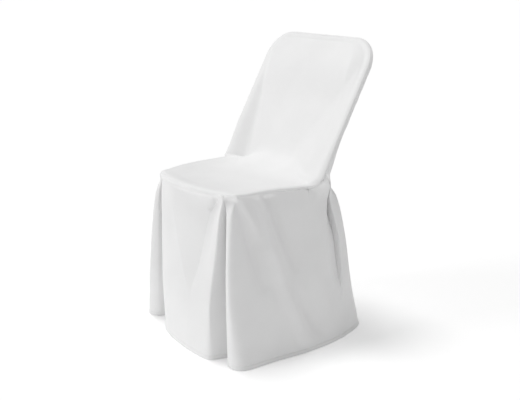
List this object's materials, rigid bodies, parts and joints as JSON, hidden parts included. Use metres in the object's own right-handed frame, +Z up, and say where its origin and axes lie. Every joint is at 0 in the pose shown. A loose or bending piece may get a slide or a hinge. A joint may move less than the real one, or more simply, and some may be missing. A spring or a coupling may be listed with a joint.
{
  "type": "folding chair cover",
  "caption": "Plain white fitted cloth cover for a folding chair, with a rounded back pocket and a skirt to the floor with inverted pleats at its corners",
  "frame": {"origin": "on the inner face of the seat's cloth, over the middle of the chair's seat, 466.5 mm above the floor", "axes": "+X to the sitter's left, +Y to the back, +Z up"},
  "size_m": [0.5311, 0.5249, 0.8341],
  "materials": {
    "centre_cloth": "smooth matt white polyester",
    "front_cloth": "smooth matt white polyester",
    "left_cloth": "smooth matt white polyester",
    "right_cloth": "smooth matt white polyester",
    "back_cloth": "smooth matt white polyester"
  },
  "bodies": {
    "root": {"centre_panel": "centre_cloth", "front_skirt": "front_cloth", "side_skirt_left": "left_cloth", "side_skirt_right": "right_cloth", "outside_back": "back_cloth"}
  },
  "joints": []
}
